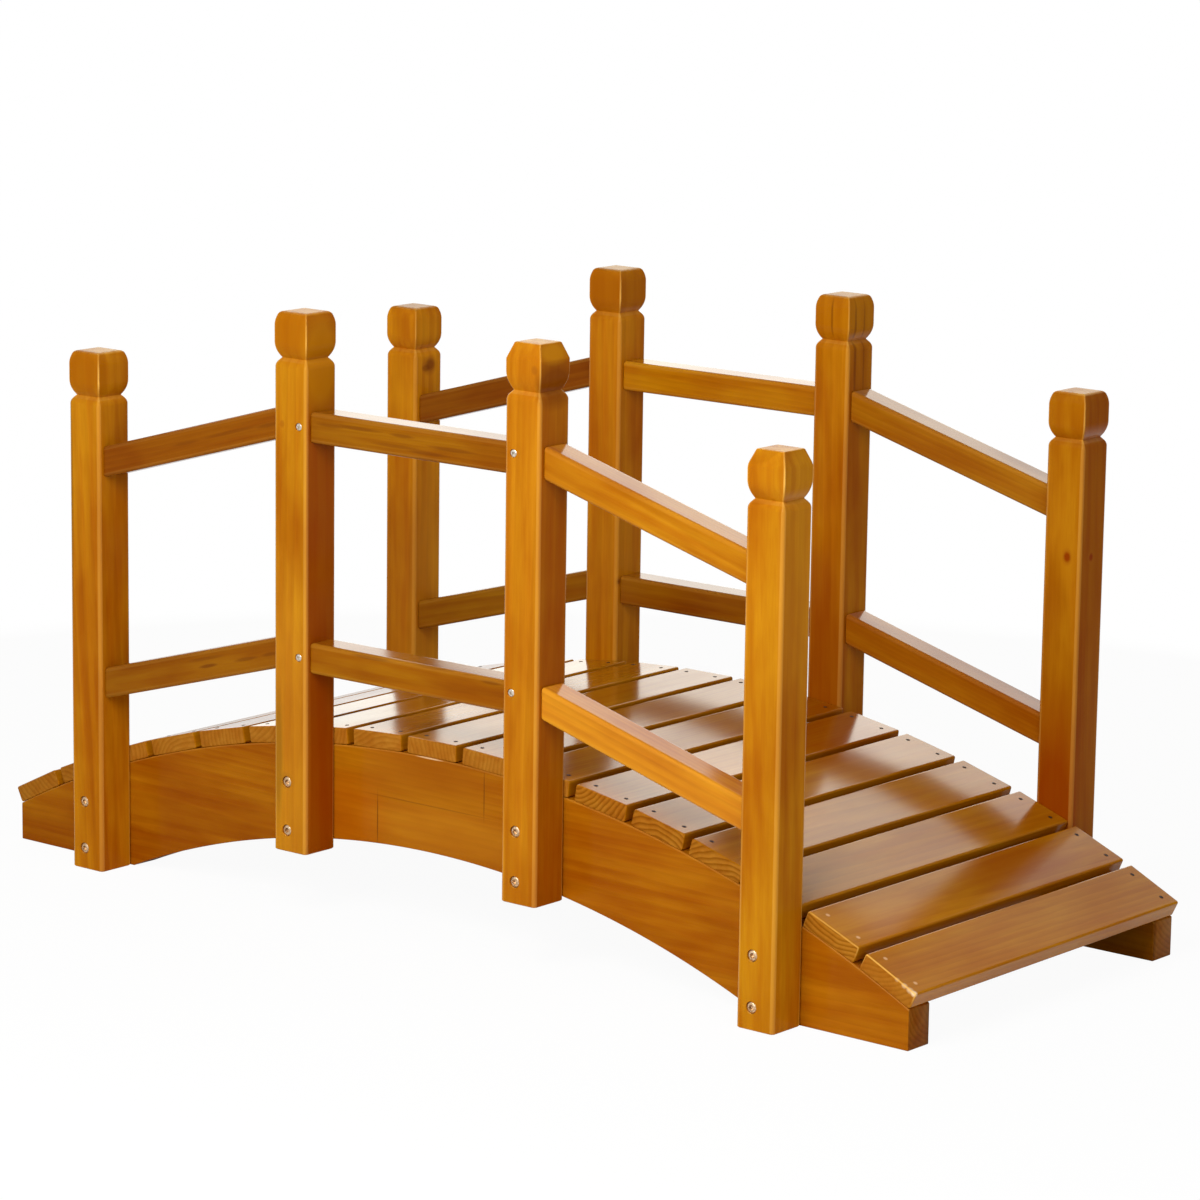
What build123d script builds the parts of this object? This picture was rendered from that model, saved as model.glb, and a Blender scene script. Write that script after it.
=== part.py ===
from build123d import *
import os
from math import asin, atan2, cos, degrees, floor, hypot

# Arched timber garden bridge: two arch beams, a planked deck, eight capped posts and two rows of rails.
# Millimetres. X runs along the bridge, Y across it, Z up; the origin is on the ground at the middle.
# The left side is +Y and the right side is -Y; posts, bays and boards are counted from -X to +X.

# Arch beams: plank cut to an arch above and below, standing on a flat foot at each end
beam_length = 1500.0
beam_thickness = 42.0
beam_end_height = 51.0
beam_crown_height = 234.0
soffit_crown_height = 110.0
soffit_half_span = 534.0
beam_easing = 1.2

# Deck: flat boards laid across the beams, as many as fit, each touching the arch along its middle
deck_width = 568.0
board_width = 82.0
least_board_gap = 9.0
board_thickness = 22.0
board_easing = 1.8

# Posts: eight of one size, bolted to the outer faces of the beams, the middle ones set higher
post_side = 55.5
post_length = 700.0
post_easing = 4.5
end_post_offset = 565.0
middle_post_offset = 193.0
middle_post_lift = 88.0

# Post caps: a square knob above a V-shaped neck, cut with one profile on all four faces;
# most knobs are round like a barrel, a few are cut with a straight upper facet
knob_height = 59.0
shoulder_height = 7.5
shoulder_round = 13.0
neck_inset = 7.0
round_crown_inset = 4.4
round_knob_shares = (0.16, 0.80)
round_knob_low_round = 34.0
round_knob_high_round = 34.0
round_knob_crown_round = 6.5
cut_crown_inset = 7.5
cut_knob_shares = (0.22, 0.66)
cut_knob_low_round = 45.0
cut_knob_high_round = 6.0
cut_knob_crown_round = 2.5

# Rails: upper and lower, between the posts, with a stub tenon in a mortise at each end
rail_thickness = 42.0
rail_depth = 40.0
rail_easing = 4.0
rail_end_easing = 2.5
upper_rail_drop = 144.0
rail_spacing = 298.0
tenon_thickness = 20.0
tenon_depth = 22.0
tenon_length = 20.0
mortise_fit = 0.2

post_places = (-end_post_offset, -middle_post_offset, middle_post_offset, end_post_offset)
post_feet = (0.0, middle_post_lift, middle_post_lift, 0.0)
sides = {"left": 1, "right": -1}
upper_rail_height = post_length - upper_rail_drop
rail_heights = {"upper": upper_rail_height, "lower": upper_rail_height - rail_spacing}
cut_knob_posts = (("right", 3), ("right", 4))


def arch_beam():
    """One arch beam, middle plane at Y = 0: arc above, arc and two flat feet below."""
    half_length = beam_length / 2
    with BuildPart() as beam:
        with BuildSketch(Plane.XZ):
            with BuildLine():
                ThreePointArc(
                    (-half_length, beam_end_height), (0, beam_crown_height), (half_length, beam_end_height)
                )
                Polyline((half_length, beam_end_height), (half_length, 0), (soffit_half_span, 0))
                ThreePointArc((soffit_half_span, 0), (0, soffit_crown_height), (-soffit_half_span, 0))
                Polyline((-soffit_half_span, 0), (-half_length, 0), (-half_length, beam_end_height))
            make_face()
        extrude(amount=beam_thickness / 2, both=True)
        faces = beam.faces().filter_by(Axis.Y)
        chamfer(faces.edges(), beam_easing)
    return beam.part


def deck_boards():
    """The boards, fanned about the centre of the beams' upper arc, the last ones flush with the beams' ends."""
    half_length = beam_length / 2
    rise = beam_crown_height - beam_end_height
    arc_radius = (half_length**2 + rise**2) / (2 * rise)
    arc_centre = Plane((0, 0, beam_crown_height - arc_radius))
    half_board = board_width / 2
    last_angle = asin(half_length / hypot(arc_radius, half_board)) - atan2(half_board, arc_radius)
    steps = floor(last_angle * arc_radius / (board_width + least_board_gap))
    with BuildPart() as board:
        Box(board_width, deck_width, board_thickness)
        chamfer(board.edges(), board_easing)
    lift = Pos(0, 0, arc_radius + board_thickness / 2)
    turns = [degrees(last_angle) * step / steps for step in range(-steps, steps + 1)]
    return [arc_centre * Rot(0, turn, 0) * lift * board.part for turn in turns]


def post_profile(crown_inset, knob_shares, low_round, high_round, crown_round):
    """Elevation of a post: straight shaft, rounded shoulder, V neck and a knob with a flat crown."""
    half = post_side / 2
    neck = half - neck_inset
    crown = half - crown_inset
    neck_height = post_length - knob_height
    shoulder = neck_height - shoulder_height
    low, high = (neck_height + share * knob_height for share in knob_shares)
    shaft = [(half, 0), (half, shoulder), (neck, neck_height)]
    knob = [(half, low), (half, high), (crown, post_length)]
    flank = shaft + knob
    outline = flank + [(-x, z) for x, z in reversed(flank)]
    with BuildSketch() as profile:
        with BuildLine():
            Polyline(*outline, close=True)
        make_face()
        _, shoulder_row, _, low_row, high_row, crown_row = profile.vertices().group_by(Axis.Y)
        fillet(shoulder_row, shoulder_round)
        fillet(low_row, low_round)
        fillet(high_row, high_round)
        fillet(crown_row, crown_round)
    return profile.sketch


def post(profile):
    """One post, foot at Z = 0: a blank with eased corners, shaped by the same profile from both sides."""
    with BuildPart() as blank:
        with BuildSketch():
            RectangleRounded(post_side, post_side, post_easing)
        extrude(amount=post_length)
    front = extrude(Plane.XZ * profile, amount=post_side, both=True)
    flank = extrude(Plane.YZ * profile, amount=post_side, both=True)
    return blank.part & front & flank


def rail_line(bay, height):
    """Ends of a rail's middle line, on the faces of the posts at both ends of a bay."""
    start = (post_places[bay] + post_side / 2, post_feet[bay] + height)
    end = (post_places[bay + 1] - post_side / 2, post_feet[bay + 1] + height)
    return start, end


def rail_bar(line, depth, thickness, reach):
    """A bar along a rail's line with upright ends, carried on into the posts by a reach at each end."""
    (x0, z0), (x1, z1) = line
    slope = (z1 - z0) / (x1 - x0)
    half = depth / 2 / cos(atan2(z1 - z0, x1 - x0))
    x0, z0, x1, z1 = x0 - reach, z0 - reach * slope, x1 + reach, z1 + reach * slope
    with BuildPart() as bar:
        with BuildSketch(Plane.XZ):
            with BuildLine():
                Polyline((x0, z0 - half), (x1, z1 - half), (x1, z1 + half), (x0, z0 + half), close=True)
            make_face()
        extrude(amount=thickness / 2, both=True)
    return bar.part


def rail(line):
    """One rail: a bar with rounded edges that butts against the posts, and its two stub tenons."""
    bar = rail_bar(line, rail_depth, rail_thickness, 0)
    ends = bar.faces().filter_by(Axis.X)
    bar = fillet(bar.edges() - ends.edges(), rail_easing)
    bar = chamfer(bar.faces().filter_by(Axis.X).edges(), rail_end_easing)
    return bar + rail_bar(line, tenon_depth, tenon_thickness, tenon_length)


def mortises(place):
    """What is cut from the post at this place for the tenons of the rails on both sides of it."""
    bays = [bay for bay in (place - 1, place) if bay in range(len(post_places) - 1)]
    lines = [rail_line(bay, height) for bay in bays for height in rail_heights.values()]
    room = 2 * mortise_fit
    return [rail_bar(line, tenon_depth + room, tenon_thickness + room, tenon_length) for line in lines]


nodes = {f"deck_board_{index:02d}": board for index, board in enumerate(deck_boards(), 1)}
round_rounds = (round_knob_low_round, round_knob_high_round, round_knob_crown_round)
cut_rounds = (cut_knob_low_round, cut_knob_high_round, cut_knob_crown_round)
round_post = post(post_profile(round_crown_inset, round_knob_shares, *round_rounds))
cut_post = post(post_profile(cut_crown_inset, cut_knob_shares, *cut_rounds))
beam_middle = (deck_width - beam_thickness) / 2
post_middle = (deck_width + post_side) / 2

for side, sign in sides.items():
    nodes[f"arch_beam_{side}"] = Pos(0, sign * beam_middle, 0) * arch_beam()
    for place, (x, foot) in enumerate(zip(post_places, post_feet)):
        blank = cut_post if (side, place + 1) in cut_knob_posts else round_post
        shaped = Pos(x, 0, foot) * blank - mortises(place)
        nodes[f"post_{side}_{place + 1}"] = Pos(0, sign * post_middle, 0) * shaped
    for row, height in rail_heights.items():
        for bay in range(len(post_places) - 1):
            bar = rail(rail_line(bay, height))
            nodes[f"rail_{side}_{row}_{bay + 1}"] = Pos(0, sign * post_middle, 0) * bar

os.makedirs("parts", exist_ok=True)
for name, solid in nodes.items():
    export_step(solid, f"parts/{name}.step")
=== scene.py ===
import bpy
import numpy as np
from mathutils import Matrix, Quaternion, Vector


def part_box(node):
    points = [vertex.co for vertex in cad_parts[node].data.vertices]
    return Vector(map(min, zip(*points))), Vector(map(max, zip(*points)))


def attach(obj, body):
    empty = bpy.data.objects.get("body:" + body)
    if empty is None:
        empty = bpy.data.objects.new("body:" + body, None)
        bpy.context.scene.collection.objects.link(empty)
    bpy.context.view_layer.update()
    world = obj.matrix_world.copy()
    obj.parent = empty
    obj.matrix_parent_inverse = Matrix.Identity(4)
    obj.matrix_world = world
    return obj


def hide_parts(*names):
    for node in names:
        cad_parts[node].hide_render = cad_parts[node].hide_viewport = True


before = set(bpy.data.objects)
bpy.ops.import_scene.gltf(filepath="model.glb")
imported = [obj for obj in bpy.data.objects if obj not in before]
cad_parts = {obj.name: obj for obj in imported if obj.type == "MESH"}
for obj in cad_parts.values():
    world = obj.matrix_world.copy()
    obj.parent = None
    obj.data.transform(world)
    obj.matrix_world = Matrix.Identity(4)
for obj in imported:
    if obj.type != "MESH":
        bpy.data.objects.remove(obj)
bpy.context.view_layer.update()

# Arch beams. Two planks of fir, each glued up from short lengths and sawn to an arch above and below,
# stained a honey brown and varnished. They stand on a flat foot at both ends and carry the deck and posts.
MM = 0.001
BEAM_EASE = 1.6 * MM
BEAM_END_EASE = 1.0 * MM
BEAM_WEAR = 0.1
ARCH_STEP = 12 * MM
SOFFIT_BELOW = 0.6
SHARP_ANGLE = np.radians(24)


def node_points(node):
    """The corner points of a CAD node as one array (points, 3), in metres."""
    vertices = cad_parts[node].data.vertices
    points = np.empty(len(vertices) * 3, np.float32)
    vertices.foreach_get("co", points)
    return points.reshape(-1, 3).astype(float)


def arc_through(x, half_span, end_height, crown_height):
    """Height at x of the circular arc over -half_span..half_span: the crown's height, less the radius, plus
    sqrt(radius^2 - x^2)."""
    rise = crown_height - end_height
    radius = (half_span**2 + rise**2) / (2 * rise)
    return crown_height - radius + np.sqrt(radius**2 - x**2)


# A point FLAT_HOLD past each easing keeps the faces beside it flat under smooth shading.
QUARTER_TURN = np.pi / 2
END_STEPS, EASE_STEPS = 3, 6
FLAT_HOLD = 0.7 * MM
CORNERS = np.array([(1, 1), (-1, 1), (-1, -1), (1, -1)])
ON_EDGE = np.tile(np.pad(np.ones(EASE_STEPS + 1), 1), len(CORNERS))


def eased_ends(start, end, ease):
    """Stations at both ends of a bar, and how far its section draws in there: a quarter circle of the easing
    radius, station = ease (1 - cos t), inset = ease (1 - sin t) for t from 0 to 90 degrees, and one station
    past it."""
    turn = np.linspace(0, QUARTER_TURN, END_STEPS + 1)
    along = np.append(ease * (1 - np.cos(turn)), ease + FLAT_HOLD)
    inset = np.append(ease * (1 - np.sin(turn)), 0)
    return np.concatenate([start + along, end - along[::-1]]), np.concatenate([inset, inset[::-1]])


def eased_loops(half_u, half_v, ease):
    """Rounded rectangles, one for each station: a quarter circle of the easing radius about each inner
    corner, and a point just past both its ends. Arrays u and v of shape (stations, points)."""
    turn = np.concatenate([[0], np.linspace(0, QUARTER_TURN, EASE_STEPS + 1), [QUARTER_TURN]])
    slide = np.zeros_like(turn)
    slide[[0, -1]] = -FLAT_HOLD, FLAT_HOLD
    slide = np.tile(slide, len(CORNERS))
    angle = (turn + np.arange(len(CORNERS))[:, None] * QUARTER_TURN).ravel()
    corner_u, corner_v = np.repeat(CORNERS, len(turn), axis=0).T
    half_u, half_v, ease = np.broadcast_arrays(half_u, half_v, ease)
    u = corner_u * (half_u - ease)[:, None] + ease[:, None] * np.cos(angle) - slide * np.sin(angle)
    v = corner_v * (half_v - ease)[:, None] + ease[:, None] * np.sin(angle) + slide * np.cos(angle)
    return u, v


def smooth(mesh):
    """Shades a mesh smooth but for edges sharper than SHARP_ANGLE."""
    mesh.shade_smooth()
    mesh.set_sharp_from_angle(angle=SHARP_ANGLE)


def put_mesh(name, points, faces):
    """Puts points and faces into a piece that sits at the origin."""
    mesh = bpy.data.meshes.new(name)
    mesh.from_pydata(points.tolist(), [], faces)
    smooth(mesh)
    piece = bpy.data.objects.new(name, mesh)
    bpy.context.scene.collection.objects.link(piece)
    return piece


def skin(name, rings, wear_and_highlight=0.0):
    """Closed surfaces over stacks of rings (..., rings, points, 3): point j of ring i joins point j + 1 round
    the ring and point j of ring i + 1, and flat faces close the first and last ring of each stack. The last
    argument says how pale each point is drawn: wear where the stain is rubbed off, and painted highlight on
    eased corners."""
    count, around = rings.shape[-3:-1]
    index = np.arange(rings.size // 3).reshape(-1, count, around)
    low, high = index[:, :-1], index[:, 1:]
    walls = np.stack([low, np.roll(low, -1, -1), np.roll(high, -1, -1), high], -1).reshape(-1, 4)
    ends = np.concatenate([index[:, 0, ::-1], index[:, -1]])
    piece = put_mesh(name, rings.reshape(-1, 3), walls.tolist() + ends.tolist())
    pale_edge_layer = piece.data.attributes.new("wear_and_highlight", "FLOAT", "POINT")
    pale_edge_layer.data.foreach_set("value", np.broadcast_to(wear_and_highlight, rings.shape[:-1]).ravel())
    return piece


def arch_beam(name, node):
    """Rounded rectangles across the beam, carried along X, with the top on one arc and the bottom on another
    that springs from the feet. The CAD beam's points give both: the lower arc passes through the inner edges
    of the feet and the point nearest to the middle that lies below SOFFIT_BELOW of the crown's height."""
    points = node_points(node)
    low, high = points.min(0), points.max(0)
    half_length, crown = high[0], high[2]
    end_height = points[points[:, 0] > half_length - BEAM_END_EASE][:, 2].max()
    foot_edge = np.abs(points[points[:, 2] < MM][:, 0]).min()
    under = points[(np.abs(points[:, 0]) < foot_edge / 2) & (points[:, 2] < crown * SOFFIT_BELOW)]
    nearest = np.abs(under[:, 0]).min()
    under_z = under[np.abs(under[:, 0]) < nearest + MM][:, 2].min()
    depth = (foot_edge**2 - nearest**2 - under_z**2) / (2 * under_z)
    under_crown = np.hypot(foot_edge, depth) - depth
    ends, inset = eased_ends(-half_length, half_length, BEAM_END_EASE)
    inner = np.linspace(-half_length, half_length, int(2 * half_length / ARCH_STEP))[1:-1]
    inner = np.append(inner, [-foot_edge, foot_edge])
    x = np.append(ends, inner)
    order = np.argsort(x)
    x, inset = x[order], np.append(inset, np.zeros(len(inner)))[order]
    top = arc_through(x, half_length, end_height, crown) - inset
    soffit = arc_through(np.clip(x, -foot_edge, foot_edge), foot_edge, 0, under_crown) + inset
    u, v = eased_loops((high[1] - low[1]) / 2 - inset, (top - soffit) / 2, BEAM_EASE - inset)
    x = np.broadcast_to(x[:, None], u.shape)
    y = (low[1] + high[1]) / 2 + u
    z = ((top + soffit) / 2)[:, None] + v
    return skin(name, np.stack([x, y, z], -1), BEAM_WEAR * ON_EDGE * (v > 0))


def linear(code):
    """An sRGB hex colour as linear RGBA: ((c + 0.055) / 1.055) ^ 2.4 above 0.04045, and c / 12.92 below."""
    value = np.array([int(code[i:i + 2], 16) for i in (1, 3, 5)]) / 255
    value = np.where(value > 0.04045, ((value + 0.055) / 1.055) ** 2.4, value / 12.92)
    return (*value.tolist(), 1.0)


def add_node(tree, kind, inputs, stops=(), **settings):
    """Adds a shader node: settings are its properties, inputs its sockets by name or number, where a socket
    of another node is linked and anything else is set as the value, and stops the (place, colour) pairs of
    a colour ramp."""
    node = tree.nodes.new("ShaderNode" + kind)
    for name, value in settings.items():
        setattr(node, name, value)
    for socket, value in inputs.items():
        if isinstance(value, bpy.types.NodeSocket):
            tree.links.new(value, node.inputs[socket])
        else:
            node.inputs[socket].default_value = value
    for number, (place, colour) in enumerate(stops):
        spots = node.color_ramp.elements
        spot = spots[number] if number < len(spots) else spots.new(place)
        spot.position, spot.color = place, colour
    return node


def new_material(name):
    """An empty node material and its tree."""
    material = bpy.data.materials.new(name)
    material.use_nodes = True
    material.node_tree.nodes.clear()
    return material, material.node_tree


# The log: how far its heart lies from the piece in mm, how far it leans, and where along it the piece is cut
# in metres. The wave texture's phase is 20 radians for each unit, so its rings stand 2 pi / 20 apart.
WOOD_SEED = 11
HEART_REACH, LOG_LEAN, LOG_SHIFT = (60, 200), 0.016, 2
RING_WIDTH, WAVE_SPACING = 6.5 * MM, 2 * np.pi / 20
LATE_FROM, LATE_TO, SAWN_EARLY_TO = 0.75, 0.9, 0.3
# Patterns by their width and octaves of detail. All run further along the grain than across it. The fibres
# are drawn coarser than real ones, so that they show.
SWAY_PATTERN, FIBRE_PATTERN = (60 * MM, 2), (2.2 * MM, 2)
STREAK_PATTERN, BLOTCH_PATTERN = (13 * MM, 1), (80 * MM, 3)
FIBRE_STRETCH, BLOTCH_STRETCH = 16, 2.5
SWAY_REACH = 18 * MM
# Colours, and the limits between which they come and go: veils by their noise, faces by the cosine to an
# axis, marks by the share of their half sizes.
WHITE = "#FFFFFF"
# The third colour is for pale edges: partly worn wood, partly painted highlight along eased corners.
EARLYWOOD, LATEWOOD, PALE_WEAR_AND_HIGHLIGHT = "#D48C12", "#CB840E", "#EEB654"
# The second colour on the line below is painted shade for faces towards +X.
SAWN_WOOD, SIDE_SHADE_COLOUR = ("#AE7220", "#90580F"), "#8A3200"
VEILS = ("#FAF5EE", "#F2E2CA", "#E6CFAA")
VEIL_FULL, VEIL_CLEAR = 0.36, 0.6
FACE_ON, MARK_FADE, WEAR_AND_HIGHLIGHT_LIMITS = (0.6, 0.9), (1.0, 0.5), (0.0, 1.0)
# Varnish: how it gleams at a slant, on sawn ends and where it is thin, and its relief and gloss.
SLANT_GLEAM = {"From Min": 0.46, "From Max": 0.64, "To Min": 0.06}
END_GLEAM = {"From Min": FACE_ON[0], "From Max": FACE_ON[1], "To Min": 1.0, "To Max": 0.42}
THIN_GLEAM = {"From Min": 0.35, "From Max": 0.6, "To Min": 0.88}
WAVE_DEPTH, FIBRE_DEPTH, FIBRE_RELIEF = 1.5 * MM, 0.3 * MM, 0.15
WOOD_ROUGHNESS, VARNISH_ROUGHNESS, VARNISH_IOR = 0.5, 0.15, 1.6
# The Mix node's colour sockets go by number, because its sockets share their names.
SHARE, UNDER, OVER, MIXED = 0, 6, 7, 2
rng = np.random.default_rng(WOOD_SEED)


def stained_fir(piece, grain, marks=(), tint=WHITE, side_shade=0.0, sawn_wood=SAWN_WOOD, ring_width=RING_WIDTH,
                veils=VEILS):
    """Varnished stained fir, each piece cut from its own log. Growth rings stand about a heart line beside
    the piece, so faces show faint lines and sawn ends show arcs. Fibres, soft streaks and blotches of stain
    lie over them, edges are pale with wear and painted highlight, and the varnish gleams at a slant, less
    where it is thin and on sawn ends. Grain is the direction of the log. Marks are ellipsoids along the grain
    (centre and half sizes in mm, colour, strength) of knots, resin, stain and glue lines, and of painted
    shade, painted light and painted reflections. Tint is the depth of the stain, the argument after it how
    much painted shade darkens the face towards +X, sawn_wood the colours of the ends, ring_width the spacing
    of the rings, and veils how dark fibres, streaks and blotches get."""
    low, high = np.array(piece.bound_box).min(0), np.array(piece.bound_box).max(0)
    bearing, reach = rng.uniform(0, 2 * np.pi), rng.uniform(*HEART_REACH) * MM
    lean = rng.normal(0, LOG_LEAN, 2)
    shift = rng.uniform(-LOG_SHIFT, LOG_SHIFT)
    turn = Vector(grain).to_track_quat("Z", "Y") @ Quaternion((0, 0, 1), bearing)
    heart = Vector(((low + high) / 2).tolist()) + turn @ Vector((reach, 0, shift))
    turn = turn @ Quaternion((1, 0, 0), lean[0]) @ Quaternion((0, 1, 0), lean[1])
    material, tree = new_material("varnished_stained_fir_" + piece.name)
    spot = add_node(tree, "TexCoord", {})
    log = add_node(tree, "Mapping", {"Vector": spot.outputs["Object"], "Location": heart,
                                     "Rotation": turn.to_euler()}, vector_type="TEXTURE")
    long_fibre, long_blotch = (
        add_node(tree, "Mapping", {"Vector": log.outputs["Vector"], "Scale": (1, 1, 1 / stretch)})
        for stretch in (FIBRE_STRETCH, BLOTCH_STRETCH))
    patterns = ((long_fibre, SWAY_PATTERN), (long_fibre, FIBRE_PATTERN), (long_fibre, STREAK_PATTERN),
                (long_blotch, BLOTCH_PATTERN))
    sway, fibre, streak, blotch = (
        add_node(tree, "TexNoise", {"Vector": place.outputs["Vector"], "Scale": 1 / width, "Detail": detail})
        for place, (width, detail) in patterns)
    bent = add_node(tree, "VectorMath", {0: sway.outputs["Color"], 1: (SWAY_REACH, SWAY_REACH, 0),
                                         2: log.outputs["Vector"]}, operation="MULTIPLY_ADD")
    rings = add_node(tree, "TexWave", {"Vector": bent.outputs["Vector"], "Scale": WAVE_SPACING / ring_width},
                     wave_type="RINGS", rings_direction="Z", wave_profile="SAW")
    early, late = (np.multiply(linear(code), linear(tint)) for code in (EARLYWOOD, LATEWOOD))
    sawn_early, sawn_late = (linear(code) for code in sawn_wood)
    face, end = (
        add_node(tree, "ValToRGB", {"Fac": rings.outputs["Fac"]},
                 stops=[(start, pale), (LATE_FROM, dark), (LATE_TO, dark), (1, pale)])
        for start, pale, dark in ((0, early, late), (SAWN_EARLY_TO, sawn_early, sawn_late)))
    facing = add_node(tree, "VectorMath", {0: spot.outputs["Normal"], 1: Vector(grain).normalized()},
                      operation="DOT_PRODUCT")
    facing = add_node(tree, "Math", {0: facing.outputs["Value"]}, operation="ABSOLUTE")
    sawn = add_node(tree, "MapRange", {"Value": facing.outputs["Value"], "From Min": FACE_ON[0],
                                       "From Max": FACE_ON[1]})
    wood = add_node(tree, "Mix", {SHARE: sawn.outputs["Result"], UNDER: face.outputs["Color"],
                                  OVER: end.outputs["Color"]}, data_type="RGBA")
    for noise, shade in zip((fibre, streak, blotch), veils):
        veil = add_node(tree, "ValToRGB", {"Fac": noise.outputs["Fac"]},
                        stops=[(VEIL_FULL, linear(shade)), (VEIL_CLEAR, linear(WHITE))])
        wood = add_node(tree, "Mix", {SHARE: 1.0, UNDER: wood.outputs[MIXED], OVER: veil.outputs["Color"]},
                        data_type="RGBA", blend_type="MULTIPLY")
    across = add_node(tree, "VectorMath", {0: spot.outputs["Normal"], 1: (1, 0, 0)}, operation="DOT_PRODUCT")
    # Painted shade that darkens the faces towards +X.
    masks = [(across.outputs["Value"], FACE_ON, SIDE_SHADE_COLOUR, side_shade)]
    nearest_axis = Vector(np.eye(3)[np.abs(grain).argmax()])
    tilt = nearest_axis.rotation_difference(Vector(grain)).to_euler()
    for centre, half_sizes, colour, strength in marks:
        near = add_node(tree, "Mapping", {"Vector": spot.outputs["Object"], "Location": np.array(centre) * MM,
                                          "Rotation": tilt, "Scale": np.array(half_sizes) * MM},
                        vector_type="TEXTURE")
        near = add_node(tree, "VectorMath", {0: near.outputs["Vector"]}, operation="LENGTH")
        masks.append((near.outputs["Value"], MARK_FADE, colour, strength))
    # Pale edges, partly wear and partly painted highlight.
    wear_and_highlight = add_node(tree, "Attribute", {}, attribute_name="wear_and_highlight")
    masks.append((wear_and_highlight.outputs["Fac"], WEAR_AND_HIGHLIGHT_LIMITS, PALE_WEAR_AND_HIGHLIGHT, 1.0))
    for value, (outside, inside), colour, strength in masks:
        mask = add_node(tree, "MapRange", {"Value": value, "From Min": outside, "From Max": inside,
                                           "To Max": strength})
        wood = add_node(tree, "Mix", {SHARE: mask.outputs["Result"], UNDER: wood.outputs[MIXED],
                                      OVER: linear(colour)}, data_type="RGBA")
    slant = add_node(tree, "LayerWeight", {})
    coats = ((slant.outputs["Facing"], SLANT_GLEAM), (facing.outputs["Value"], END_GLEAM),
             (blotch.outputs["Fac"], THIN_GLEAM))
    gleam, dull, thin = (add_node(tree, "MapRange", {"Value": value, **limits}) for value, limits in coats)
    for less in dull, thin:
        gleam = add_node(tree, "Math", {0: gleam.outputs[0], 1: less.outputs["Result"]}, operation="MULTIPLY")
    waves = add_node(tree, "Bump", {"Height": blotch.outputs["Fac"], "Distance": WAVE_DEPTH})
    relief = add_node(tree, "Bump", {"Height": fibre.outputs["Fac"], "Strength": FIBRE_RELIEF,
                                     "Distance": FIBRE_DEPTH, "Normal": waves.outputs["Normal"]})
    varnish = add_node(tree, "BsdfPrincipled", {
        "Base Color": wood.outputs[MIXED], "Roughness": WOOD_ROUGHNESS, "Specular IOR Level": 0.0,
        "Coat Weight": gleam.outputs["Value"], "Coat Roughness": VARNISH_ROUGHNESS, "Coat IOR": VARNISH_IOR,
        "Normal": relief.outputs["Normal"]})
    add_node(tree, "OutputMaterial", {"Surface": varnish.outputs["BSDF"]})
    piece.data.materials.append(material)


# Marks on the outer face, by place and half sizes along and up in mm: lengths of other shades, the glue lines
# between them and a bare spot at the crown. The inner face, under the deck, has painted shade all over.
BEAM_TINT, BEAM_ENDS = "#D2C4BC", ("#94591A", "#87500F")
RED_LENGTH, BROWN_LENGTH, PALE_LENGTH = "#B05804", "#A05E0A", "#BE7A18"
GLUE_LINE, BARE_WOOD, INNER_SHADE_COLOUR = "#6A3A06", "#F4D4A6", "#321C02"
MARK_DEPTH = 8
BEAM_MARKS = (((-145, 140), (80, 62), RED_LENGTH, 0.45), ((0, 204), (120, 44), BROWN_LENGTH, 0.4),
              ((30, 138), (170, 44), PALE_LENGTH, 0.4), ((-91, 139), (1.2, 44), GLUE_LINE, 0.8),
              ((89, 200), (1.2, 42), GLUE_LINE, 0.7), ((-1, 171), (130, 1.0), GLUE_LINE, 0.5),
              ((-3, 232.8), (26, 1.2), BARE_WOOD, 0.55))
# Painted shade over the whole inner face, which lies in the shade under the deck.
INNER_HEIGHT, INNER_PAINTED_SHADE = 60, ((1200, 10, 260), INNER_SHADE_COLOUR, 0.6)
for side in ("left", "right"):
    beam = arch_beam(f"beam_{side}", f"arch_beam_{side}")
    inner, outer = sorted((corner.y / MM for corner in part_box(f"arch_beam_{side}")), key=abs)
    marks = [((x, outer, z), (along, MARK_DEPTH, up), colour, strength)
             for (x, z), (along, up), colour, strength in BEAM_MARKS]
    marks.append(((0, inner, INNER_HEIGHT), *INNER_PAINTED_SHADE))
    stained_fir(beam, (1, 0, 0), marks, BEAM_TINT, sawn_wood=BEAM_ENDS)
    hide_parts(f"arch_beam_{side}")
    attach(beam, "root")

# Deck. Flat boards of fir with eased edges, laid square across both beams with a gap between, each turned to
# the slope of the arch under it. They were stained and varnished on all sides before they were nailed down.
BOARD_EASE = 2.7 * MM
BOARD_END_EASE = 1.9 * MM
BOARD_WEAR, NEAR_EDGE = {"deck_board_16": 0.45, "deck_board_17": 0.7}, slice(1, 3)
ACROSS = np.array([0, 1, 0])
boards = sorted(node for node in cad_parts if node.startswith("deck_board_"))
crown_low, crown_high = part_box(boards[len(boards) // 2])
crown_middle = (crown_low + crown_high) / 2
half_board = (crown_high - crown_low) / 2
last_middle = sum(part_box(boards[-1]), Vector()) / 2
drop = crown_middle.z - last_middle.z
fan_radius = (last_middle.x**2 + drop**2) / (2 * drop)


def board_frame(node):
    """A board's middle, and its directions out of the deck and down the slope, from its place on the circle
    of the fan: the sine of its slope is x / radius."""
    middle = np.array(sum(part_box(node), Vector()) / 2)
    slope = np.arcsin(middle[0] / fan_radius)
    outward = np.array([np.sin(slope), 0, np.cos(slope)])
    downward = np.array([np.cos(slope), 0, -np.sin(slope)])
    return middle, outward, downward


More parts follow.
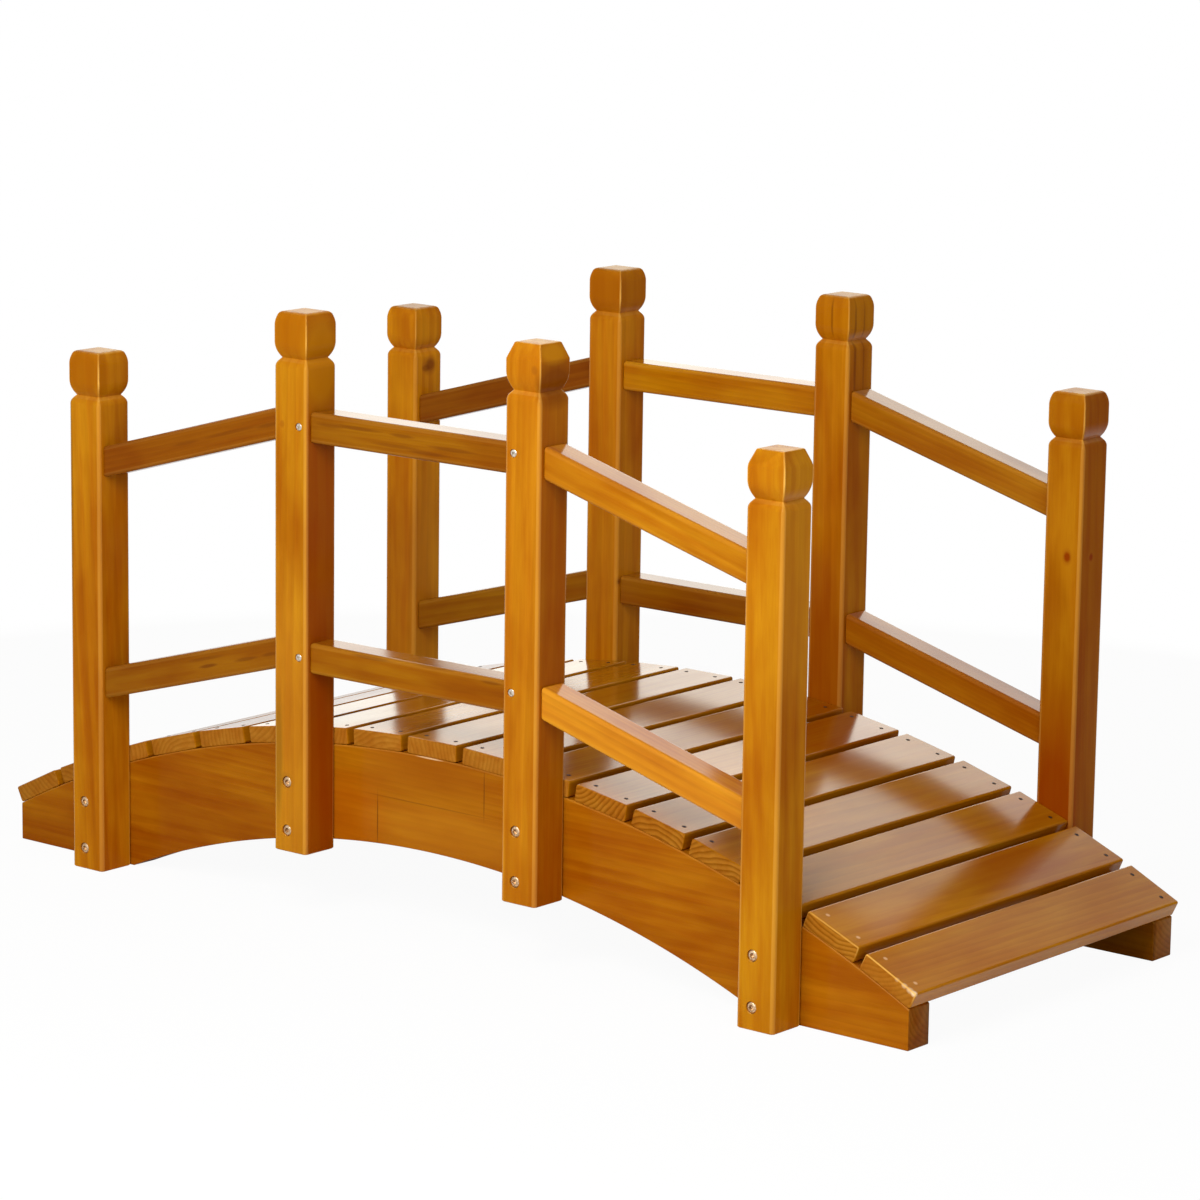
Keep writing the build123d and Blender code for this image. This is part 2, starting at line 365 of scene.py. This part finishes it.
def deck_board(name, node):
    """Rounded rectangles, thickness by width, carried along Y and turned to the board's slope. On the last
    two boards the upper half of the eased end towards -Y, the rings of NEAR_EDGE, is worn."""
    middle, outward, downward = board_frame(node)
    y, inset = eased_ends(-half_board.y, half_board.y, BOARD_END_EASE)
    u, v = eased_loops(half_board.z - inset, half_board.x - inset, BOARD_EASE - inset)
    along = y[:, None, None] * ACROSS
    wear_and_highlight = np.zeros(u.shape)
    wear_and_highlight[NEAR_EDGE] = (u[NEAR_EDGE] > 0) * BOARD_WEAR.get(node, 0)
    return skin(name, middle + along + u[..., None] * outward + v[..., None] * downward, wear_and_highlight)


# Marks, with sizes in mm: painted shade round the nails, or stopping where a nail is sunk under filler,
# scuffs along the end of the last board (shift down the slope, size, strength), and redder patches that are
# painted reflections of the posts. The rings show clearly on the sawn ends of a few boards.
DECK_TINT, DECK_VEILS = "#E0DEBA", ("#FAF5EE", "#F6ECDC", "#F4E8D4")
FAINT_RINGS, CLEAR_ENDS = ("#B07424", "#A4691C"), range(12, 17)
NAIL_INSET, NAIL_SHARE = 19 * MM, 0.6
# Painted shade in a ring round each nail head.
NAIL_HOLE_SHADE = ((4.2, 4.2, 4.2), "#4A2808", 0.6)
STOPPED, STOPPING = ("deck_board_16", "deck_board_17"), ((3.4, 3.4, 3.4), "#E2B27C", 0.8)
SCUFFS = {"deck_board_17": ((38, 6, 0.9), (31, 6, 0.5), (22, 5, 0.5), (10, 4, 0.3))}
# Painted reflection in red: the posts on the deck, and the deck on the far posts' lower faces.
PAINTED_RED_REFLECTION = "#8E3400"
BOARD_PAINTED_REFLECTIONS = {"deck_board_11": [((190, 240, 250), (80, 80, 40), PAINTED_RED_REFLECTION, 0.5)],
                "deck_board_12": [((275, 180, 240), (90, 170, 50), PAINTED_RED_REFLECTION, 0.6)],
                "deck_board_13": [((345, 130, 220), (70, 90, 40), PAINTED_RED_REFLECTION, 0.35)],
                "deck_board_15": [((570, 230, 185), (60, 80, 40), PAINTED_RED_REFLECTION, 0.5)],
                "deck_board_16": [((640, 110, 150), (75, 150, 50), PAINTED_RED_REFLECTION, 0.55)]}
nail_seats = []
for number, node in enumerate(boards, 1):
    board = deck_board(f"board_{number:02d}", node)
    middle, outward, downward = board_frame(node)
    top = middle + half_board.z * outward
    edge = top - half_board.y * ACROSS
    down_slope, to_side = NAIL_SHARE * half_board.x * downward, (half_board.y - NAIL_INSET) * ACROSS
    seats = [top + u * down_slope + v * to_side for v in (1, -1) for u in (-1, 1)]
    nailed = len(seats) // 2 if node in STOPPED else len(seats)
    nail_seats += [(seat, outward) for seat in seats[:nailed]]
    marks = [(seat / MM, *NAIL_HOLE_SHADE) for seat in seats[:nailed]]
    marks += [(seat / MM, *STOPPING) for seat in seats[nailed:]]
    marks += [(edge / MM + shift * downward, (size, size, size), BARE_WOOD, strength)
              for shift, size, strength in SCUFFS.get(node, ())]
    marks += BOARD_PAINTED_REFLECTIONS.get(node, [])
    board_ends = SAWN_WOOD if number in CLEAR_ENDS else FAINT_RINGS
    stained_fir(board, (0, 1, 0), marks, DECK_TINT, sawn_wood=board_ends, veils=DECK_VEILS)
    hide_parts(node)
    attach(board, "root")

# Nails. Round steel nails with small flat heads that have darkened and begun to rust, two at each end of a
# board, driven through it into the beam until the head is flush.
TURN_STEPS = 36
NAIL_HEAD = np.array([(2.7, -1.5), (2.7, 0.1), (2.3, 0.35), (0.8, 0.4)]) * MM
NAIL_STEEL = ("darkened_steel", "#443830", "#3A2414", 0.55)
UP, STEEP = np.array([0.0, 0.0, 1.0]), 0.5


def turned(name, profile, places, outward, corners=6, cut_rows=0):
    """Turned shapes stamped at places, each about its outward direction: ring i has the radius and height of
    row i of the profile. The last cut_rows rings are polygons, radius times cos(pi / n) / cos(angle from the
    nearest flat). A ring starts along the bridge if outward is steep, else halfway from level to upright."""
    angle = np.arange(TURN_STEPS) * 2 * np.pi / TURN_STEPS
    flat = np.cos(np.pi / corners) / np.cos(angle % (2 * np.pi / corners) - np.pi / corners)
    radius = profile[:, :1] * np.ones(TURN_STEPS)
    radius[len(profile) - cut_rows:] *= flat
    places, outward = np.broadcast_arrays(places, outward)
    across = np.where(outward[:, 2:] > STEEP, (1.0, 0.0, 0.0), np.cross(outward, UP) + UP)
    across -= (across * outward).sum(-1, keepdims=True) * outward
    across /= np.linalg.norm(across, axis=-1, keepdims=True)
    beside = np.cross(outward, across)
    across, beside, outward, places = (
        array[:, None, None, :] for array in (across, beside, outward, places))
    radius, height = radius[..., None], profile[:, 1][:, None, None]
    angle = angle[:, None]
    return skin(name, places + height * outward + radius * (np.cos(angle) * across + np.sin(angle) * beside))


# Specks of tarnish are drawn coarser than real ones, so that they show.
TARNISH_WIDTH, TARNISH_FULL, TARNISH_CLEAR, TARNISH_DULLS = 1.8 * MM, 0.42, 0.6, 0.2


def plated_steel(name, colour, tarnish, roughness):
    """Steel with a plated skin that mirrors the room softly, and darker, duller specks of tarnish on it."""
    material, tree = new_material(name)
    spot = add_node(tree, "TexCoord", {})
    speck = add_node(tree, "TexNoise", {"Vector": spot.outputs["Object"], "Scale": 1 / TARNISH_WIDTH})
    plating = add_node(tree, "ValToRGB", {"Fac": speck.outputs["Fac"]},
                       stops=[(TARNISH_FULL, linear(tarnish)), (TARNISH_CLEAR, linear(colour))])
    dulled = add_node(tree, "MapRange", {"Value": speck.outputs["Fac"], "From Min": TARNISH_FULL,
                                         "From Max": TARNISH_CLEAR, "To Min": roughness + TARNISH_DULLS,
                                         "To Max": roughness})
    metal = add_node(tree, "BsdfPrincipled", {"Base Color": plating.outputs["Color"], "Metallic": 1.0,
                                              "Roughness": dulled.outputs["Result"]})
    add_node(tree, "OutputMaterial", {"Surface": metal.outputs["BSDF"]})
    return material


nails = turned("deck_nails", NAIL_HEAD, *np.array(nail_seats).transpose(1, 0, 2))
nails.data.materials.append(plated_steel(*NAIL_STEEL))
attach(nails, "root")

# Posts. Square fir posts with eased corners; the top of each is cut with one profile on all four faces to a
# shoulder, a V-shaped neck and a knob with a flat crown. Each stands flat against the outer face of a beam
# and is bored for two bolts, and the middle ones for two screws as well.
POST_EASE, CAP_EASE, FOOT_EASE = 4.5 * MM, 1.3 * MM, 1.2 * MM
SHOULDER_HEIGHT, SHOULDER_ROUND = 7.5 * MM, 13 * MM
NECK_INSET, NECK_ROUND = 7 * MM, 0.4 * MM
ARC_STEPS = 8
# Knobs: the crown's inset, where the straight flank starts and ends as shares of the height, and the radii
# of its three corners. Most are round like a barrel; two are cut with a straight upper facet. The flat crown
# has a rim, CROWN_RIM insets from the flank, and one face within it.
KNOB_HEIGHT = 59 * MM
ROUND_KNOB = (4.4 * MM, (0.16, 0.80), (34 * MM, 34 * MM, 6.5 * MM))
CUT_KNOBS = {"post_right_3": (7.5 * MM, (0.22, 0.66), (45 * MM, 5 * MM, 2.5 * MM)),
             "post_right_4": (7.5 * MM, (0.20, 0.68), (42 * MM, 22 * MM, 2.5 * MM))}
CROWN_RIM = 3
# Pale corners, part wear and part painted highlight: even along the shaft, greatest halfway up the pale part
# of a knob.
SHAFT_WEAR_AND_HIGHLIGHT, PALE_KNOB_SHARE = 0.2, 0.9
CAP_WEAR_AND_HIGHLIGHT = {"post_left_1": 0.2, "post_left_2": 0.6, "post_left_3": 0.1, "post_left_4": 0.3,
            "post_right_1": 0.7, "post_right_2": 0.4, "post_right_3": 0.15, "post_right_4": 0.6}


def rounded_line(points, radii):
    """A line of straight runs with each inner corner replaced by the tangent arc of its radius. The arc meets
    both runs at radius times tan(half the turn) from the corner, and its points turn evenly from one run to
    the other."""
    line = [points[0]]
    for before, corner, after, radius in zip(points, points[1:], points[2:], radii):
        into, out = corner - before, after - corner
        into, out = into / np.hypot(*into), out / np.hypot(*out)
        turn = np.arctan2(into[0] * out[1] - into[1] * out[0], into @ out)
        back = radius * np.tan(abs(turn) / 2)
        centre = corner - back * into + np.sign(turn) * radius * np.array([-into[1], into[0]])
        start = corner - back * into - centre
        sweep = np.linspace(0, turn, ARC_STEPS + 1)
        line += list(centre + np.stack([start[0] * np.cos(sweep) - start[1] * np.sin(sweep),
                                        start[0] * np.sin(sweep) + start[1] * np.cos(sweep)], -1))
    return np.array(line + [points[-1]])


def capped_post(name, node, knob):
    """Rounded squares carried up Z, whose half width follows the post's profile: foot, shaft, shoulder, neck
    and knob. The corners sharpen from the shoulder to the neck."""
    low, high = (np.array(corner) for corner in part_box(node))
    crown_inset, flank, knob_rounds = knob
    half = (high[0] - low[0]) / 2
    neck_z = high[2] - KNOB_HEIGHT
    flank_low, flank_high = (neck_z + share * KNOB_HEIGHT for share in flank)
    profile = np.array([(half - FOOT_EASE, low[2]), (half, low[2] + FOOT_EASE),
                        (half, neck_z - SHOULDER_HEIGHT), (half - NECK_INSET, neck_z),
                        (half, flank_low), (half, flank_high),
                        (half - crown_inset, high[2]), (half - CROWN_RIM * crown_inset, high[2])])
    width, z = rounded_line(profile, (FOOT_EASE, SHOULDER_ROUND, NECK_ROUND, *knob_rounds)).T
    ease = np.interp(z, (neck_z - 2 * SHOULDER_HEIGHT, neck_z), (POST_EASE, CAP_EASE))
    u, v = eased_loops(width, width, ease)
    x, y = (low + high)[:2] / 2
    up_knob = np.clip((z - neck_z) / (PALE_KNOB_SHARE * KNOB_HEIGHT), 0, 1)
    wear_and_highlight = ON_EDGE * (SHAFT_WEAR_AND_HIGHLIGHT + CAP_WEAR_AND_HIGHLIGHT[node] * np.sin(np.pi * up_knob) ** 2)[:, None]
    return skin(name, np.stack([x + u, y + v, np.broadcast_to(z[:, None], u.shape)], -1), wear_and_highlight)


# Each post's stain: its tint, and how much painted shade darkens the face towards +X. Marks by centre and
# half
# sizes in mm: painted shade and light on the caps, knots, dark streaks, resin, a redder painted reflection of
# the deck low down and painted light on the shafts' faces.
POST_RING_WIDTH, CROWN_WOOD = 15 * MM, ("#DCA650", "#D69C46")
POST_TINTS_AND_SIDE_SHADE = {"post_left_1": ("#FFFCF0", 0.0), "post_left_2": ("#F0E8E4", 0.0),
               "post_left_3": ("#E8E2E0", 0.1), "post_left_4": ("#DCD8DA", 0.45),
               "post_right_1": ("#F2F2F2", 0.2), "post_right_2": ("#EAECF2", 0.78),
               "post_right_3": ("#E9E3F0", 0.38), "post_right_4": ("#EDF2F8", 0.14)}
KNOT_RIM, RED_KNOT, DARK_WOOD = "#A05A0C", "#8A3200", "#6A3406"
# The second colour darkens knot cores, and is painted shade on the lower part of one knob.
RESIN, DARK_KNOT_AND_SHADE = "#724606", "#7A3A02"
# Painted shade and painted light on the caps' faces, and painted light on the shafts' faces.
PAINTED_CAP_SHADE, PAINTED_CAP_LIGHT, PAINTED_FACE_LIGHT = "#A25800", "#C07C0C", "#E4A02C"
CAP_FRONT, CAP_SIDE = (50, 26, 44), (20, 46, 44)
POST_MARKS = {
    "post_left_1": [((-537, 312, 220), (12, 56, 330), PAINTED_FACE_LIGHT, 0.3),
                    ((-565, 284, 200), (56, 12, 300), PAINTED_FACE_LIGHT, 0.12),
                    ((-537, 313, 617), (6, 18, 16), KNOT_RIM, 0.7),
                    ((-537, 315, 618), (6, 11, 10), DARK_KNOT_AND_SHADE, 0.65),
                    ((-537, 306, 614), (6, 10, 6), DARK_KNOT_AND_SHADE, 0.5)],
    "post_left_2": [((-193, 284, 760), CAP_FRONT, PAINTED_CAP_SHADE, 0.8),
                    ((-165, 312, 760), CAP_SIDE, PAINTED_CAP_SHADE, 0.6),
                    ((-163, 289, 358), (8, 8, 10), KNOT_RIM, 0.6),
                    ((-163, 289, 358), (5, 5, 5), DARK_WOOD, 0.8)],
    "post_left_3": [((193, 284, 250), (60, 20, 220), PAINTED_RED_REFLECTION, 0.6),
                    ((193, 284, 760), CAP_FRONT, PAINTED_CAP_SHADE, 0.4),
                    ((221, 312, 760), CAP_SIDE, PAINTED_CAP_LIGHT, 0.5),
                    ((193, 284, 760), (2.2, 8, 36), DARK_WOOD, 0.5),
                    ((221, 299, 715), (8, 3.5, 90), DARK_WOOD, 0.5),
                    ((221, 318, 715), (8, 2.5, 90), DARK_WOOD, 0.4)],
    "post_left_4": [((573, 284, 490), (9, 8, 13), KNOT_RIM, 0.7),
                    ((573, 284, 490), (6, 6, 8), RED_KNOT, 0.9),
                    ((591, 309, 489), (7, 9, 12), KNOT_RIM, 0.7),
                    ((591, 309, 489), (6, 6, 7), RED_KNOT, 0.9),
                    ((565, 284, 90), (60, 20, 260), PAINTED_RED_REFLECTION, 0.8)],
    "post_right_1": [((-565, -339, 672), CAP_FRONT, PAINTED_CAP_SHADE, 0.75),
                     ((-593, -339, 490), (8, 8, 220), RESIN, 0.85)],
    "post_right_2": [((-193, -339, 760), CAP_FRONT, PAINTED_CAP_SHADE, 0.7),
                     ((-165, -312, 725), (20, 46, 90), PAINTED_CAP_LIGHT, 0.7),
                     ((-213, -339, 215), (9, 8, 110), RESIN, 0.7),
                     ((-200, -339, 182), (13, 8, 13), RESIN, 0.4),
                     ((-207, -339, 645), (5, 8, 6), KNOT_RIM, 0.6),
                     ((-193, -339, 230), (60, 12, 270), PAINTED_FACE_LIGHT, 0.2)],
    "post_right_3": [((211, -339, 757), (6, 6, 7), KNOT_RIM, 0.8),
                     ((221, -312, 738), (16, 46, 34), DARK_KNOT_AND_SHADE, 0.75),
                     ((221, -312, 778), (16, 34, 18), PAINTED_CAP_LIGHT, 0.8)],
    "post_right_4": [((593, -312, 560), (12, 56, 190), PAINTED_FACE_LIGHT, 0.18)]}
# Bolts stand above the foot and screws above the ground, each to one side of the post's middle.
BOLT_SHIFT, BOLT_HEIGHTS = -5.5 * MM, (28 * MM, 92 * MM)
BOLT_BORE = np.array([(7.7, -5), (7.7, 1)]) * MM
SCREWED, SCREW_SHIFT, SCREW_HEIGHTS = ("2", "3"), 14.5 * MM, (346 * MM, 644 * MM)
SCREW_LIFTS = {"post_right_3": 8 * MM}
SCREW_BORE = np.array([(5.4, -2.2), (5.4, 1)]) * MM


def sink(piece, cutter):
    """Cuts the bores into a piece for good and takes the cutting shape away."""
    bores = piece.modifiers.new("bores", "BOOLEAN")
    bores.object, bores.operation, bores.solver = cutter, "DIFFERENCE", "EXACT"
    whole = bpy.data.meshes.new_from_object(piece.evaluated_get(bpy.context.evaluated_depsgraph_get()))
    piece.modifiers.clear()
    piece.data = whole
    smooth(whole)
    bpy.data.objects.remove(cutter)


bolt_seats, screw_seats = [], []
posts = sorted(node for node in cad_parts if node.startswith("post_"))
for node in posts:
    post = capped_post(node.replace("post", "capped_post"), node, CUT_KNOBS.get(node, ROUND_KNOB))
    low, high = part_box(node)
    middle = (low.x + high.x) / 2
    outward = np.sign(low.y) * ACROSS
    face = max(low.y, high.y, key=abs)
    seats = np.array([(middle + BOLT_SHIFT, face, low.z + height) for height in BOLT_HEIGHTS])
    sink(post, turned("bores", BOLT_BORE, seats, outward))
    bolt_seats += [(seat, outward) for seat in seats]
    if node[-1] in SCREWED:
        inward, lift = -np.sign(middle), SCREW_LIFTS.get(node, 0)
        seats = np.array([(middle + inward * SCREW_SHIFT, face, height + lift) for height in SCREW_HEIGHTS])
        sink(post, turned("bores", SCREW_BORE, seats, outward))
        screw_seats += [(seat, outward) for seat in seats]
    stained_fir(post, (0, 0, 1), POST_MARKS[node], *POST_TINTS_AND_SIDE_SHADE[node], CROWN_WOOD, POST_RING_WIDTH)
    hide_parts(node)
    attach(post, "root")

# Bolts and screws. Zinc-plated steel. Round bolt heads with a hexagon socket are sunk in the posts and hold
# them to the beams; smaller screws with a square socket go through the middle posts into the level rails.
BOLT_HEAD = np.array([(7.0, -5), (7.0, -2.4), (6.6, -1.5), (5.8, -0.9), (4.8, -0.5), (3.7, -0.4),
                      (3.7, -4)]) * MM
SCREW_HEAD = np.array([(4.9, -2.2), (4.9, -1.1), (4.2, -0.6), (2.4, -0.3), (2.4, -2)]) * MM
BOLT_SOCKET, SCREW_SOCKET = {"corners": 6, "cut_rows": 2}, {"corners": 4, "cut_rows": 2}
BOLT_ZINC = ("yellowed_zinc", "#DEC4A4", "#B4946E", 0.4)
SCREW_ZINC = ("bright_zinc", "#E2DACE", "#B8AC9A", 0.3)
bolts = turned("post_bolts", BOLT_HEAD, *np.array(bolt_seats).transpose(1, 0, 2), **BOLT_SOCKET)
bolts.data.materials.append(plated_steel(*BOLT_ZINC))
screws = turned("rail_screws", SCREW_HEAD, *np.array(screw_seats).transpose(1, 0, 2), **SCREW_SOCKET)
screws.data.materials.append(plated_steel(*SCREW_ZINC))
for fastener in bolts, screws:
    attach(fastener, "root")

# Rails. Fir bars with rounded edges between neighbouring posts, upper and lower in each bay, stained and
# varnished. The bars of the end bays slope with the arch, and their ends are cut upright to butt against the
# posts.
RAIL_EASE = 5.0 * MM
RAIL_END_EASE = 3.5 * MM
RAIL_WEAR = 0.06


def rail_bar(name, node, before, after):
    """Rounded rectangles carried along X from post face to post face, each moved up by the slope of the bar
    and stretched upright by 1 / cos(slope), so that the ends are upright. The level bar of bay 2 gives the
    section. Returns the bar and its slope."""
    low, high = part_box(node)
    level_low, level_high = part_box(node[:-1] + "2")
    start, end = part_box(before)[1].x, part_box(after)[0].x
    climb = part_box(after)[0].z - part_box(before)[0].z
    slope = climb / (end - start)
    x, inset = eased_ends(start, end, RAIL_END_EASE)
    half_y, half_z = (level_high.y - level_low.y) / 2, (level_high.z - level_low.z) / 2
    u, v = eased_loops(half_y - inset, half_z - inset, RAIL_EASE - inset)
    middle_z = (low.z + high.z) / 2 + slope * (x - (start + end) / 2)
    z = middle_z[:, None] + v * np.hypot(1, slope)
    x = np.broadcast_to(x[:, None], u.shape)
    return skin(name, np.stack([x, (low.y + high.y) / 2 + u, z], -1), RAIL_WEAR * ON_EDGE), slope


# Marks on the face towards -Y, in mm: dark streaks (x, z, half length, strength), and one bar that is paler.
RAIL_TINTS = {
    "rail_left_lower_1": "#D1D7C0", "rail_left_lower_2": "#BCB0A8", "rail_left_lower_3": "#D2C1C0",
    "rail_left_upper_1": "#AC9590", "rail_left_upper_2": "#ECF1C8", "rail_left_upper_3": "#CDC9E8",
    "rail_right_lower_1": "#BAB2C0", "rail_right_lower_2": "#C6C0BC", "rail_right_lower_3": WHITE,
    "rail_right_upper_1": "#B09990", "rail_right_upper_2": "#BAB4B4", "rail_right_upper_3": "#E6E5FF"}
RAIL_FACE, STREAK_HEIGHT = -332.75, 3.0
RAIL_STREAKS = {
    "rail_right_lower_1": ((-345, 310, 20, 0.7), (-350, 319, 40, 0.35), (-277, 329, 26, 0.5),
                           (-233, 342, 20, 0.5)),
    "rail_right_lower_2": ((-58, 362, 40, 0.5), (43, 365, 44, 0.4), (141, 360, 20, 0.5)),
    "rail_right_upper_1": ((-305, 622, 60, 0.35), (-238, 639, 26, 0.5), (-384, 599, 30, 0.35)),
    "rail_right_upper_2": ((-83, 652, 46, 0.5), (-9, 651, 24, 0.5), (34, 634, 40, 0.5), (74, 643, 46, 0.5),
                           (-19, 637, 50, 0.35), (-131, 650, 30, 0.35))}
PALER_RAILS = {"rail_right_lower_3": [((379, RAIL_FACE, 302), (360, MARK_DEPTH, 44), PALE_WEAR_AND_HIGHLIGHT, 0.08)]}
rails = sorted(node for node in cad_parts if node.startswith("rail_"))
for node in rails:
    _, side, row, bay = node.split("_")
    before, after = f"post_{side}_{bay}", f"post_{side}_{int(bay) + 1}"
    rail, slope = rail_bar(f"bar_{side}_{row}_{bay}", node, before, after)
    marks = [((x, RAIL_FACE, z), (reach, MARK_DEPTH, STREAK_HEIGHT), DARK_WOOD, strength)
             for x, z, reach, strength in RAIL_STREAKS.get(node, ())]
    marks += PALER_RAILS.get(node, [])
    stained_fir(rail, (1, 0, slope), marks, RAIL_TINTS[node])
    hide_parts(node)
    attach(rail, "root")

# Studio. A floor of matt white paper, which keeps a faint shadow close by and runs out into a white backdrop.
# A large soft lamp stands in front and a weak one at the right; behind are two slightly warm ones, a wide low
# one and a higher one whose light the varnish mirrors, and an even fill comes from all round.
FLOOR_REACH, FLOOR_GREY = 40.0, "#F4F4F2"
# The paper passes into plain white from PAPER_TO to BLANK_FROM, in metres from the middle. Nearer than that
# the camera sees NEAR_WHITE of plain white over it, which keeps the shadow faint.
PAPER_TO, BLANK_FROM, NEAR_WHITE = 0.9, 2.0, 0.95
floor_corners = np.array([(-1, -1, 0), (1, -1, 0), (1, 1, 0), (-1, 1, 0)]) * FLOOR_REACH
floor = put_mesh("floor", floor_corners, [[0, 1, 2, 3]])


def shown_plain(tree, path):
    """One for rays that show the background plain: those from the camera, off a mirror and through glass."""
    seen = add_node(tree, "Math", {0: path.outputs["Is Camera Ray"], 1: path.outputs["Is Glossy Ray"]},
                    operation="ADD")
    return add_node(tree, "Math", {0: seen.outputs["Value"], 1: path.outputs["Is Transmission Ray"]},
                    operation="ADD", use_clamp=True)


floor_paper, tree = new_material("matt_white_paper")
path = add_node(tree, "LightPath", {})
paper = add_node(tree, "BsdfDiffuse", {"Color": linear(FLOOR_GREY)})
glow = add_node(tree, "Emission", {"Color": linear(WHITE), "Strength": 1.0})
spot = add_node(tree, "TexCoord", {})
away = add_node(tree, "VectorMath", {0: spot.outputs["Object"]}, operation="LENGTH")
blank = add_node(tree, "MapRange", {"Value": away.outputs["Value"], "From Min": PAPER_TO,
                                    "From Max": BLANK_FROM}, interpolation_type="SMOOTHSTEP")
seen = shown_plain(tree, path)
far_off = add_node(tree, "Math", {0: seen.outputs["Value"], 1: blank.outputs["Result"]}, operation="MULTIPLY")
close_by = add_node(tree, "Math", {0: path.outputs["Is Camera Ray"], 1: NEAR_WHITE}, operation="MULTIPLY")
share = add_node(tree, "Math", {0: far_off.outputs["Value"], 1: close_by.outputs["Value"]},
                 operation="MAXIMUM")
both = add_node(tree, "MixShader", {0: share.outputs["Value"], 1: paper.outputs["BSDF"],
                                    2: glow.outputs["Emission"]})
add_node(tree, "OutputMaterial", {"Surface": both.outputs["Shader"]})
floor.data.materials.append(floor_paper)

FILL = 0.24
world = bpy.data.worlds.new("studio")
bpy.context.scene.world = world
world.use_nodes = True
tree = world.node_tree
tree.nodes.clear()
seen = shown_plain(tree, add_node(tree, "LightPath", {}))
fill = add_node(tree, "Background", {"Color": linear(WHITE), "Strength": FILL})
backdrop = add_node(tree, "Background", {"Color": linear(WHITE), "Strength": 1.0})
both = add_node(tree, "MixShader", {0: seen.outputs["Value"], 1: fill.outputs["Background"],
                                    2: backdrop.outputs["Background"]})
add_node(tree, "OutputWorld", {"Surface": both.outputs["Shader"]})

# Lamps: place, aim point and side of the square in metres, power in watts, colour.
WARM_WHITE = "#FFFBE6"
LAMPS = {"key": ((0.6, -2.2, 2.0), (0.1, 0, 0.35), 1.6, 68, WHITE),
         "right": ((2.6, -1.0, 0.9), (0.3, 0, 0.4), 1.2, 11, WHITE),
         "back": ((-3.0, 3.6, 1.1), (0, 0, 0.3), 3.0, 28, WARM_WHITE),
         "sheen": ((-0.9, 2.9, 2.25), (0.4, 0, 0.2), 1.6, 8.5, WARM_WHITE)}
for name, (place, aim, size, power, colour) in LAMPS.items():
    lamp = bpy.data.lights.new(name, "AREA")
    lamp.shape, lamp.size, lamp.energy = "SQUARE", size, power
    lamp.color = linear(colour)[:3]
    stand = bpy.data.objects.new(name, lamp)
    stand.location = place
    stand.rotation_euler = (Vector(aim) - Vector(place)).to_track_quat("-Z", "Y").to_euler()
    bpy.context.scene.collection.objects.link(stand)

# Camera. A long lens at the photograph's viewing angle, turned a little about its own axis. Angles are in
# radians, the lens and its sensor in mm.
AZIMUTH, ELEVATION, ROLL = 0.68768, 0.19652, 0.01410
DISTANCE, TARGET = 6015.6 * MM, np.array([39.46, 0, 402.14]) * MM
LENS, SENSOR = 138.88, 36
back = np.array([np.sin(AZIMUTH) * np.cos(ELEVATION), -np.cos(AZIMUTH) * np.cos(ELEVATION),
                 np.sin(ELEVATION)])
right = np.array([np.cos(AZIMUTH), np.sin(AZIMUTH), 0])
up = np.cross(back, right)
pose = np.eye(4)
pose[:3, 0] = np.cos(ROLL) * right + np.sin(ROLL) * up
pose[:3, 1] = np.cos(ROLL) * up - np.sin(ROLL) * right
pose[:3, 2] = back
pose[:3, 3] = TARGET + DISTANCE * back
view = bpy.data.cameras.new("photograph_view")
view.lens, view.sensor_width = LENS, SENSOR
camera = bpy.data.objects.new("photograph_view", view)
camera.matrix_world = pose.T.tolist()
bpy.context.scene.collection.objects.link(camera)
bpy.context.scene.camera = camera
bpy.context.scene.view_settings.view_transform = "Standard"
